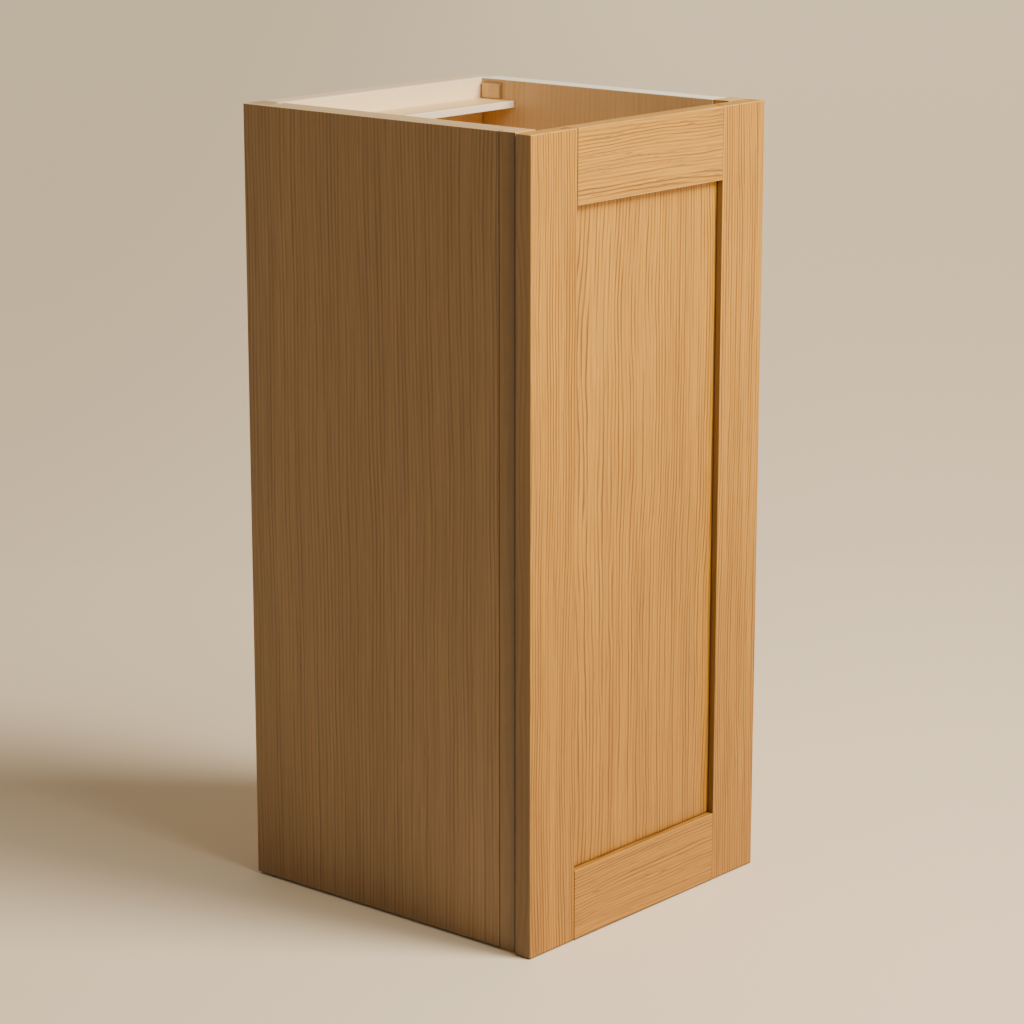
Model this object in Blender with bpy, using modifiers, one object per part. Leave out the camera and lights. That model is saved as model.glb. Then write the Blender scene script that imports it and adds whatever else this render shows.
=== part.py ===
"""Hanging wall cabinet, 12 in wide by 27 in high by 12 in deep, with one framed door.

Metres, +Z up. +X is the right-hand side seen from the front and +Y points back into the wall.
The origin is the middle of the upper hanging rail's back face, where the cabinet meets the wall.
"""
import math

import bmesh
import bpy
from mathutils import Vector

# Carcass
CABINET_WIDTH = 0.3048
CABINET_HEIGHT = 0.6858
CABINET_DEPTH = 0.3016
SIDE_THICKNESS = 0.01905
END_SKIN_THICKNESS = 0.00635
FRAME_THICKNESS = 0.0165
FRAME_STILE_WIDTH = 0.0254
FRAME_RAIL_HEIGHT = 0.0381
TOP_RAIL_DROP = 0.010
HANGING_RAIL_HEIGHT = 0.0635
HANGING_RAIL_THICKNESS = 0.018
BACK_THICKNESS = 0.0060
BOTTOM_THICKNESS = 0.0127
DADO_DEPTH = 0.0060
BATTEN_DROP = 0.018
BATTEN_DEPTH = 0.038
BATTEN_THICKNESS = 0.0063
BLOCK_DEPTH = 0.021
BLOCK_THICKNESS = 0.0030
BLOCK_TOP_DROP = 0.0035
BLOCK_BACK_GAP = 0.002

# Shelves and their pins, on the usual 32 mm hole spacing
SHELF_THICKNESS = 0.0159
SHELF_SIDE_GAP = 0.0015
SHELF_FRONT_SETBACK = 0.012
SHELF_BACK_GAP = 0.003
PIN_HOLE_PITCH = 0.032
PIN_HOLE_COUNT = 13
PIN_HOLE_FIRST = 0.150
PIN_HOLE_RADIUS = 0.0027
PIN_HOLE_DEPTH = 0.0085
PIN_ROW_INSET = 0.040
PIN_SHANK_RADIUS = 0.0024
PIN_SHANK_LENGTH = 0.0075
PIN_HEAD_RADIUS = 0.0040
PIN_HEAD_LENGTH = 0.0070
LOWER_SHELF_HOLE = 2
UPPER_SHELF_HOLE = 9

# Door
DOOR_GAP = 0.0016
DOOR_THICKNESS = 0.0165
DOOR_SIDE_OVERHANG = 0.0020
DOOR_BOTTOM_OVERHANG = 0.0016
DOOR_TOP_DROP = 0.0004
DOOR_STILE_WIDTH = 0.058
DOOR_RAIL_WIDTH = 0.062
PANEL_THICKNESS = 0.0061
PANEL_RECESS = 0.0060
PANEL_FLOAT = 0.0010
GROOVE_WIDTH = 0.0065
GROOVE_DEPTH = 0.0095
TENON_LENGTH = 0.0090
BUMPER_RADIUS = 0.0045
BUMPER_INSET = 0.014

# Hinges: measured from the frame stile's inner edge (across) and the frame's front (along Y)
HINGE_END_DISTANCE = 0.095
CUP_EDGE_DISTANCE = 0.0225
CUP_RADIUS = 0.0172
CUP_WALL = 0.0010
CUP_DEPTH = 0.0115
CUP_RIM_RADIUS = 0.0190
CUP_RIM_THICKNESS = 0.0008
CABINET_PIVOT = (-0.0080, 0.0080)
DOOR_PIVOT = (0.0160, -0.0056)
LINK_BENDS = ((-0.0078, 0.0010), (-0.0060, -0.0045), (-0.0010, -0.0086), (0.0070, -0.0098),
              (0.0130, -0.0092))
LINK_HEIGHT = 0.010
LINK_THICKNESS = 0.0016
EYE_RADIUS = 0.0029
PIVOT_RADIUS = 0.0014
PIVOT_HOLE_RADIUS = 0.00145
EAR_THICKNESS = 0.0015
PLATE_THICKNESS = 0.0018
PLATE_HEIGHT = 0.046
PLATE_SCREW_SPACING = 0.034

# Joinery
SEAT = 0.0003
DOWEL_RADIUS = 0.003
DOWEL_LENGTH = 0.030
SCREW_LENGTH = 0.042
SCREW_HEAD_RADIUS = 0.0040
SCREW_SHANK_RADIUS = 0.0020
SCREW_HEAD_DEPTH = 0.0030
HINGE_SCREW_LENGTH = 0.014
HINGE_SCREW_HEAD_RADIUS = 0.0032
HINGE_SCREW_SHANK_RADIUS = 0.0016
HINGE_SCREW_HEAD_DEPTH = 0.0014
BRAD_RADIUS = 0.0007
BRAD_LENGTH = 0.018

# Worked-out planes
HALF_WIDTH = CABINET_WIDTH / 2
SIDE_OUTER = HALF_WIDTH - END_SKIN_THICKNESS
SIDE_INNER = SIDE_OUTER - SIDE_THICKNESS
TOP = HANGING_RAIL_HEIGHT / 2
BOTTOM = TOP - CABINET_HEIGHT
FRAME_FRONT = -CABINET_DEPTH
FRAME_BACK = FRAME_FRONT + FRAME_THICKNESS
BACK_FRONT = -(HANGING_RAIL_THICKNESS + SEAT + BACK_THICKNESS)
BACK_REAR = -(HANGING_RAIL_THICKNESS + SEAT)
BOTTOM_TOP = BOTTOM + FRAME_RAIL_HEIGHT
BOTTOM_UNDERSIDE = BOTTOM_TOP - BOTTOM_THICKNESS
TOP_RAIL_TOP = TOP - TOP_RAIL_DROP
DOOR_BACK = FRAME_FRONT - DOOR_GAP
DOOR_FRONT = DOOR_BACK - DOOR_THICKNESS
DOOR_HALF = HALF_WIDTH + DOOR_SIDE_OVERHANG
DOOR_TOP = TOP - DOOR_TOP_DROP
DOOR_BOTTOM = BOTTOM - DOOR_BOTTOM_OVERHANG
DOOR_STILE_INNER = DOOR_HALF - DOOR_STILE_WIDTH
HINGE_EDGE = HALF_WIDTH - FRAME_STILE_WIDTH
HINGE_HEIGHTS = {"lower": DOOR_BOTTOM + HINGE_END_DISTANCE, "upper": DOOR_TOP - HINGE_END_DISTANCE}
CUP_CENTRE_X = DOOR_HALF - CUP_EDGE_DISTANCE

COLOURS = {
    "oak": ((0.62, 0.42, 0.22), 0.45, 0.0),
    "oak_skin": ((0.50, 0.33, 0.17), 0.50, 0.0),
    "birch": ((0.82, 0.70, 0.52), 0.55, 0.0),
    "beech": ((0.74, 0.58, 0.40), 0.55, 0.0),
    "steel": ((0.60, 0.60, 0.60), 0.30, 1.0),
    "zinc": ((0.66, 0.62, 0.50), 0.35, 1.0),
    "bumper": ((0.85, 0.85, 0.83), 0.50, 0.0),
}

for old in list(bpy.data.objects):
    bpy.data.objects.remove(old, do_unlink=True)

parts = bpy.data.collections.new("hanging_wall_cabinet")
cutters = bpy.data.collections.new("cutters")
bpy.context.scene.collection.children.link(parts)
bpy.context.scene.collection.children.link(cutters)


def material(name, finish):
    """Give one piece its own material, with the colour, roughness and metallic value of its finish."""
    colour, roughness, metallic = COLOURS[finish]
    made = bpy.data.materials.new(name)
    made.use_nodes = True
    shader = made.node_tree.nodes["Principled BSDF"]
    shader.inputs["Base Color"].default_value = (*colour, 1.0)
    shader.inputs["Roughness"].default_value = roughness
    shader.inputs["Metallic"].default_value = metallic
    return made


def place(name, mesh, finish):
    """Add a mesh to the cabinet, or to the cutters when it has no finish."""
    made = bpy.data.objects.new(name, mesh)
    if finish is None:
        cutters.objects.link(made)
        made.hide_render = True
        made.display_type = "WIRE"
    else:
        parts.objects.link(made)
        mesh.materials.append(material(name, finish))
    return made


def add_box(build, x_range, y_range, z_range):
    """Add a box between three pairs of planes to a bmesh."""
    made = bmesh.ops.create_cube(build, size=1.0)["verts"]
    size = Vector(high - low for low, high in (x_range, y_range, z_range))
    centre = Vector((low + high) / 2 for low, high in (x_range, y_range, z_range))
    for vert in made:
        vert.co = Vector(a * b for a, b in zip(vert.co, size)) + centre


def add_rod(build, start, end, radius, segments):
    """Add a closed cylinder between two points to a bmesh."""
    start = Vector(start)
    end = Vector(end)
    turn = (end - start).to_track_quat("Z", "Y").to_matrix().to_4x4()
    turn.translation = (start + end) / 2
    bmesh.ops.create_cone(build, cap_ends=True, segments=segments, radius1=radius, radius2=radius,
                          depth=(end - start).length, matrix=turn)


def finish_mesh(name, build, finish, origin=(0.0, 0.0, 0.0), smooth=False):
    """Turn a bmesh drawn in cabinet coordinates into an object whose origin is at the given point."""
    bmesh.ops.translate(build, verts=build.verts, vec=-Vector(origin))
    mesh = bpy.data.meshes.new(name)
    build.to_mesh(mesh)
    build.free()
    if smooth:
        mesh.shade_smooth()
        mesh.set_sharp_from_angle(angle=math.radians(35))
    made = place(name, mesh, finish)
    made.location = origin
    return made


def boxes(name, ranges, finish, origin=(0.0, 0.0, 0.0)):
    """One object of one or more separate boxes."""
    build = bmesh.new()
    for x_range, y_range, z_range in ranges:
        add_box(build, x_range, y_range, z_range)
    return finish_mesh(name, build, finish, origin)


def rods(name, lines, radius, finish, origin=(0.0, 0.0, 0.0), segments=12):
    """One object of one or more separate cylinders."""
    build = bmesh.new()
    for start, end in lines:
        add_rod(build, start, end, radius, segments)
    return finish_mesh(name, build, finish, origin, smooth=True)


def boolean(target, operation, other):
    """Cut or join one object with another."""
    step = target.modifiers.new(f"{operation.lower()}_{other.name}", "BOOLEAN")
    step.operation = operation
    step.solver = "EXACT"
    step.object = other


def turned(name, profile, places, direction, finish, origin=(0.0, 0.0, 0.0), steps=12):
    """Turn a profile of (radius, height) points, top to bottom, and set a copy at each place.

    The profile's height runs along direction. The copies are separate bodies of one object.
    """
    mesh = bpy.data.meshes.new(name + "_profile")
    points = [(radius, 0.0, height) for radius, height in profile]
    mesh.from_pydata(points, [(i, i + 1) for i in range(len(points) - 1)], [])
    spinner = bpy.data.objects.new(name + "_profile", mesh)
    parts.objects.link(spinner)
    spin = spinner.modifiers.new("turn", "SCREW")
    spin.axis = "Z"
    spin.steps = steps
    spin.render_steps = steps
    spin.use_merge_vertices = True
    spin.merge_threshold = 0.00002
    solid = bpy.data.meshes.new_from_object(spinner.evaluated_get(bpy.context.evaluated_depsgraph_get()))
    bpy.data.objects.remove(spinner, do_unlink=True)
    build = bmesh.new()
    turn = Vector(direction).to_track_quat("Z", "Y").to_matrix().to_4x4()
    for point in places:
        first = len(build.verts)
        build.from_mesh(solid)
        build.verts.ensure_lookup_table()
        fresh = build.verts[first:]
        bmesh.ops.remove_doubles(build, verts=fresh, dist=0.00002)
        build.verts.ensure_lookup_table()
        bmesh.ops.transform(build, matrix=turn, verts=build.verts[first:])
        build.verts.ensure_lookup_table()
        bmesh.ops.translate(build, verts=build.verts[first:], vec=Vector(point))
    return finish_mesh(name, build, finish, origin, smooth=True)


def screw_profile(head_radius, head_depth, shank_radius, length):
    """A countersunk screw, head face at height 0 and point downwards."""
    return [(0.0, 0.0), (head_radius, 0.0), (head_radius * 0.94, -0.0004), (shank_radius, -head_depth),
            (shank_radius, -length + shank_radius * 2), (0.0, -length)]


def pin_rows():
    """The Y positions of the two rows of shelf-pin holes."""
    return FRAME_BACK + PIN_ROW_INSET, BACK_FRONT - PIN_ROW_INSET


def pin_height(hole):
    """The height of one shelf-pin hole, counted from the lowest."""
    return BOTTOM + PIN_HOLE_FIRST + hole * PIN_HOLE_PITCH


# Side panels, dadoed for the bottom and grooved for the back, with two rows of shelf-pin holes
SCREW_HEIGHTS = {"upper": 0.0, "lower": BOTTOM + HANGING_RAIL_HEIGHT / 2}
SCREW_Y = -HANGING_RAIL_THICKNESS / 2
BLOCK_FRONT = BACK_FRONT - BLOCK_BACK_GAP - BLOCK_DEPTH
BLOCK_TOP = TOP - BLOCK_TOP_DROP
BLOCK_UNDERSIDE = TOP - BATTEN_DROP + SEAT
BRAD_Z = (BLOCK_TOP + BLOCK_UNDERSIDE) / 2
BRAD_Y = BLOCK_FRONT + BLOCK_DEPTH / 2

for side_name, sign in (("left", -1), ("right", 1)):
    inner = sign * SIDE_INNER
    outer = sign * SIDE_OUTER

    def across(start, end):
        """The X range between two distances from the cabinet's middle, on this side."""
        return tuple(sorted((sign * start, sign * end)))

    panel = boxes(f"side_panel_{side_name}",
                  [(across(SIDE_INNER, SIDE_OUTER), (FRAME_BACK + SEAT, 0.0), (BOTTOM, TOP))], "oak")
    grooves = boxes(f"cut_side_grooves_{side_name}", [
        (across(SIDE_INNER - 0.01, SIDE_INNER + DADO_DEPTH + SEAT),
         (BACK_FRONT - SEAT, BACK_REAR + SEAT), (BOTTOM - 0.01, TOP + 0.01))], None)
    dado = boxes(f"cut_side_dado_{side_name}", [
        (across(SIDE_INNER - 0.01, SIDE_INNER + DADO_DEPTH + SEAT),
         (FRAME_BACK - 0.01, BACK_FRONT + 0.002), (BOTTOM_UNDERSIDE - SEAT, BOTTOM_TOP + SEAT))], None)
    holes = rods(f"cut_pin_holes_{side_name}", [
        ((inner - sign * 0.005, y, pin_height(hole)), (inner + sign * PIN_HOLE_DEPTH, y, pin_height(hole)))
        for y in pin_rows() for hole in range(PIN_HOLE_COUNT)], PIN_HOLE_RADIUS, None, segments=8)
    brad_holes = rods(f"cut_brad_hole_{side_name}", [
        ((sign * (SIDE_INNER - BLOCK_THICKNESS - 0.005), BRAD_Y, BRAD_Z),
         (sign * (SIDE_INNER - BLOCK_THICKNESS + BRAD_LENGTH + 0.001), BRAD_Y, BRAD_Z))],
        BRAD_RADIUS + SEAT, None, segments=8)
    screw_holes = turned(
        f"cut_screw_holes_{side_name}",
        [(0.0, 0.005), (SCREW_HEAD_RADIUS + SEAT, 0.005), (SCREW_HEAD_RADIUS + SEAT, -0.0005),
         (SCREW_SHANK_RADIUS + SEAT, -SCREW_HEAD_DEPTH - 0.0005),
         (SCREW_SHANK_RADIUS + SEAT, -SCREW_LENGTH - 0.001), (0.0, -SCREW_LENGTH - 0.001)],
        [(outer, SCREW_Y, z) for z in SCREW_HEIGHTS.values()], (sign, 0, 0), None)
    for cutter in (grooves, dado, holes, brad_holes, screw_holes):
        boolean(panel, "DIFFERENCE", cutter)

    for row_name, z in SCREW_HEIGHTS.items():
        turned(f"rail_screw_{row_name}_{side_name}",
               screw_profile(SCREW_HEAD_RADIUS, SCREW_HEAD_DEPTH, SCREW_SHANK_RADIUS, SCREW_LENGTH),
               [(outer - sign * 0.0004, SCREW_Y, z)], (sign, 0, 0), "zinc")

    block = boxes(f"corner_block_{side_name}", [
        (across(SIDE_INNER - BLOCK_THICKNESS, SIDE_INNER - SEAT),
         (BLOCK_FRONT, BLOCK_FRONT + BLOCK_DEPTH), (BLOCK_UNDERSIDE, BLOCK_TOP))], "birch")
    boolean(block, "DIFFERENCE", brad_holes)
    rods(f"block_brad_{side_name}", [
        ((sign * (SIDE_INNER - BLOCK_THICKNESS), BRAD_Y, BRAD_Z),
         (sign * (SIDE_INNER - BLOCK_THICKNESS + BRAD_LENGTH), BRAD_Y, BRAD_Z))],
        BRAD_RADIUS, "steel", segments=8)

# Finished end skin on the left, its front edge against the frame stile
boxes("end_skin_left", [((-HALF_WIDTH, -SIDE_OUTER - SEAT), (FRAME_BACK + SEAT, 0.0), (BOTTOM, TOP))],
      "oak_skin")

# Bottom, back and hanging rails
boxes("bottom_panel", [((-SIDE_INNER - DADO_DEPTH, SIDE_INNER + DADO_DEPTH),
                        (FRAME_BACK + SEAT, BACK_FRONT - SEAT), (BOTTOM_UNDERSIDE, BOTTOM_TOP))], "birch")
boxes("back_panel", [((-SIDE_INNER - DADO_DEPTH, SIDE_INNER + DADO_DEPTH),
                      (BACK_FRONT, BACK_REAR), (BOTTOM, TOP))], "birch")
for rail_name, rail_bottom in (("upper", TOP - HANGING_RAIL_HEIGHT), ("lower", BOTTOM)):
    rail = boxes(f"hanging_rail_{rail_name}", [
        ((-SIDE_INNER + SEAT, SIDE_INNER - SEAT), (-HANGING_RAIL_THICKNESS, 0.0),
         (rail_bottom, rail_bottom + HANGING_RAIL_HEIGHT))], "beech")
    for side_name in ("left", "right"):
        boolean(rail, "DIFFERENCE", bpy.data.objects[f"cut_screw_holes_{side_name}"])
boxes("top_batten", [((-SIDE_INNER + SEAT, SIDE_INNER - SEAT),
                      (BACK_FRONT - SEAT - BATTEN_DEPTH, BACK_FRONT - SEAT),
                      (TOP - BATTEN_DROP - BATTEN_THICKNESS, TOP - BATTEN_DROP))], "birch")

# Face frame: two stiles and two rails, dowelled edge to edge
FRAME_RAILS = {"top": TOP_RAIL_TOP - FRAME_RAIL_HEIGHT, "bottom": BOTTOM}
for rail_name, rail_bottom in FRAME_RAILS.items():
    boxes(f"frame_{rail_name}_rail", [
        ((-HINGE_EDGE + SEAT, HINGE_EDGE - SEAT), (FRAME_FRONT, FRAME_BACK),
         (rail_bottom, rail_bottom + FRAME_RAIL_HEIGHT))], "oak")
for side_name, sign in (("left", -1), ("right", 1)):
    stile = boxes(f"frame_stile_{side_name}", [
        (tuple(sorted((sign * HINGE_EDGE, sign * HALF_WIDTH))), (FRAME_FRONT, FRAME_BACK),
         (BOTTOM, TOP))], "oak")
    middle_y = (FRAME_FRONT + FRAME_BACK) / 2
    for rail_name, rail_bottom in FRAME_RAILS.items():
        z = rail_bottom + FRAME_RAIL_HEIGHT / 2

        def dowel_line(length):
            """A dowel's centre line, half in the stile and half in the rail."""
            return ((sign * (HINGE_EDGE - length / 2), middle_y, z),
                    (sign * (HINGE_EDGE + length / 2), middle_y, z))

        bore = rods(f"cut_dowel_bore_{rail_name}_{side_name}", [dowel_line(DOWEL_LENGTH + 0.002)],
                    DOWEL_RADIUS + SEAT, None, segments=10)
        rods(f"frame_dowel_{rail_name}_{side_name}", [dowel_line(DOWEL_LENGTH)], DOWEL_RADIUS, "beech",
             segments=10)
        boolean(stile, "DIFFERENCE", bore)
        boolean(bpy.data.objects[f"frame_{rail_name}_rail"], "DIFFERENCE", bore)

# Two loose shelves, each on four stepped pins
for shelf_name, hole in (("lower", LOWER_SHELF_HOLE), ("upper", UPPER_SHELF_HOLE)):
    underside = pin_height(hole) + PIN_HEAD_RADIUS + SEAT
    shelf_half = SIDE_INNER - SHELF_SIDE_GAP
    boxes(f"shelf_{shelf_name}", [
        ((-shelf_half, shelf_half), (FRAME_BACK + SHELF_FRONT_SETBACK, BACK_FRONT - SHELF_BACK_GAP),
         (underside, underside + SHELF_THICKNESS))], "birch", (0.0, (FRAME_BACK + BACK_FRONT) / 2, underside))
    for side_name, sign in (("left", -1), ("right", 1)):
        for row_name, y in zip(("front", "back"), pin_rows()):
            turned(f"shelf_pin_{shelf_name}_{row_name}_{side_name}",
                   [(0.0, PIN_HEAD_LENGTH), (PIN_HEAD_RADIUS - 0.0006, PIN_HEAD_LENGTH),
                    (PIN_HEAD_RADIUS, PIN_HEAD_LENGTH - 0.0006), (PIN_HEAD_RADIUS, SEAT),
                    (PIN_SHANK_RADIUS, SEAT), (PIN_SHANK_RADIUS, -PIN_SHANK_LENGTH),
                    (0.0, -PIN_SHANK_LENGTH)],
                   [(sign * SIDE_INNER, y, pin_height(hole))], (-sign, 0, 0), "steel")

# Door: stiles grooved along their inner edges, rails with stub tenons, panel floating in the grooves
GROOVE_FRONT = DOOR_FRONT + PANEL_RECESS - (GROOVE_WIDTH - PANEL_THICKNESS) / 2
GROOVE_BACK = GROOVE_FRONT + GROOVE_WIDTH
DOOR_ORIGIN = (HINGE_EDGE + DOOR_PIVOT[0], FRAME_FRONT + DOOR_PIVOT[1], 0.0)
RAIL_RANGES = {"top": (DOOR_TOP - DOOR_RAIL_WIDTH, DOOR_TOP),
               "bottom": (DOOR_BOTTOM, DOOR_BOTTOM + DOOR_RAIL_WIDTH)}
PANEL_LOW = RAIL_RANGES["bottom"][1] - GROOVE_DEPTH
PANEL_HIGH = RAIL_RANGES["top"][0] + GROOVE_DEPTH

for side_name, sign in (("left", -1), ("right", 1)):
    stile = boxes(f"door_stile_{side_name}", [
        (tuple(sorted((sign * DOOR_STILE_INNER, sign * DOOR_HALF))), (DOOR_FRONT, DOOR_BACK),
         (DOOR_BOTTOM, DOOR_TOP))], "oak", DOOR_ORIGIN)
    groove = boxes(f"cut_door_groove_{side_name}", [
        (tuple(sorted((sign * (DOOR_STILE_INNER - 0.01), sign * (DOOR_STILE_INNER + GROOVE_DEPTH)))),
         (GROOVE_FRONT, GROOVE_BACK), (DOOR_BOTTOM - 0.01, DOOR_TOP + 0.01))], None)
    boolean(stile, "DIFFERENCE", groove)

for rail_name, (low, high) in RAIL_RANGES.items():
    half = DOOR_STILE_INNER - SEAT
    rail = boxes(f"door_rail_{rail_name}", [((-half, half), (DOOR_FRONT, DOOR_BACK), (low, high))],
                 "oak", DOOR_ORIGIN)
    tenons = boxes(f"join_tenons_{rail_name}", [
        ((-half - TENON_LENGTH, half + TENON_LENGTH), (GROOVE_FRONT + SEAT, GROOVE_BACK - SEAT),
         (low, high))], None)
    boolean(rail, "UNION", tenons)
    edge = low if rail_name == "top" else high
    slot = boxes(f"cut_rail_groove_{rail_name}", [
        ((-DOOR_HALF, DOOR_HALF), (GROOVE_FRONT, GROOVE_BACK),
         tuple(sorted((edge + (GROOVE_DEPTH if rail_name == "top" else -GROOVE_DEPTH),
                       edge + (-0.01 if rail_name == "top" else 0.01)))))], None)
    boolean(rail, "DIFFERENCE", slot)

boxes("door_centre_panel", [
    ((-DOOR_STILE_INNER - GROOVE_DEPTH + PANEL_FLOAT, DOOR_STILE_INNER + GROOVE_DEPTH - PANEL_FLOAT),
     (DOOR_FRONT + PANEL_RECESS, DOOR_FRONT + PANEL_RECESS + PANEL_THICKNESS),
     (PANEL_LOW + PANEL_FLOAT, PANEL_HIGH - PANEL_FLOAT))], "oak", DOOR_ORIGIN)

# Two bumpers on the back of the door's free stile
BUMPER_X = -HALF_WIDTH + BUMPER_INSET
for bumper_name, z in (("lower", DOOR_BOTTOM + BUMPER_INSET), ("upper", DOOR_TOP - BUMPER_INSET)):
    rods(f"door_bumper_{bumper_name}",
         [((BUMPER_X, DOOR_BACK + SEAT / 2, z), (BUMPER_X, FRAME_FRONT - SEAT / 2, z))],
         BUMPER_RADIUS, "bumper", DOOR_ORIGIN, segments=16)

# Concealed hinges: a turned cup pressed into the door, a cranked link, and a bracket on the frame stile
cup_profile = [(0.0, 0.0), (CUP_RIM_RADIUS, 0.0), (CUP_RIM_RADIUS, -CUP_RIM_THICKNESS),
               (CUP_RADIUS, -CUP_RIM_THICKNESS), (CUP_RADIUS, -CUP_DEPTH), (0.0, -CUP_DEPTH)]
cup_cavity = [(0.0, 0.001), (CUP_RADIUS - CUP_WALL, 0.001), (CUP_RADIUS - CUP_WALL, -CUP_DEPTH + CUP_WALL),
              (0.0, -CUP_DEPTH + CUP_WALL)]
cup_bore = [(0.0, 0.002), (CUP_RIM_RADIUS + SEAT, 0.002), (CUP_RIM_RADIUS + SEAT, -CUP_RIM_THICKNESS - SEAT),
            (CUP_RADIUS + SEAT, -CUP_RIM_THICKNESS - SEAT), (CUP_RADIUS + SEAT, -CUP_DEPTH - SEAT),
            (0.0, -CUP_DEPTH - SEAT)]
CUP_FACE = DOOR_BACK - 0.0001
cup_places = [(CUP_CENTRE_X, CUP_FACE, z) for z in HINGE_HEIGHTS.values()]
bore = turned("cut_cup_bores", cup_bore, cup_places, (0, 1, 0), None, steps=32)
boolean(bpy.data.objects["door_stile_right"], "DIFFERENCE", bore)

CABINET_PIVOT_POINT = Vector((HINGE_EDGE + CABINET_PIVOT[0], FRAME_FRONT + CABINET_PIVOT[1], 0.0))
DOOR_PIVOT_POINT = Vector((HINGE_EDGE + DOOR_PIVOT[0], FRAME_FRONT + DOOR_PIVOT[1], 0.0))
PIN_OFFSET = DOOR_PIVOT_POINT.x - CUP_CENTRE_X + PIVOT_RADIUS
PIN_REACH = math.sqrt((CUP_RADIUS - CUP_WALL) ** 2 - PIN_OFFSET ** 2)


def upright(point, middle, half_length):
    """A vertical line of a given half length, centred on one hinge's height."""
    return ((point[0], point[1], middle - half_length), (point[0], point[1], middle + half_length))


def smooth_route(points, steps=4):
    """A Catmull-Rom line through the points, with its ends kept."""
    knots = [Vector(point) for point in points]
    knots = [2 * knots[0] - knots[1], *knots, 2 * knots[-1] - knots[-2]]
    route = []
    for a, b, c, d in zip(knots, knots[1:], knots[2:], knots[3:]):
        for step in range(steps):
            t = step / steps
            route.append(0.5 * (2 * b + (c - a) * t + (2 * a - 5 * b + 4 * c - d) * t ** 2
                                + (3 * b - a - 3 * c + d) * t ** 3))
    route.append(knots[-2])
    return route


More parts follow.
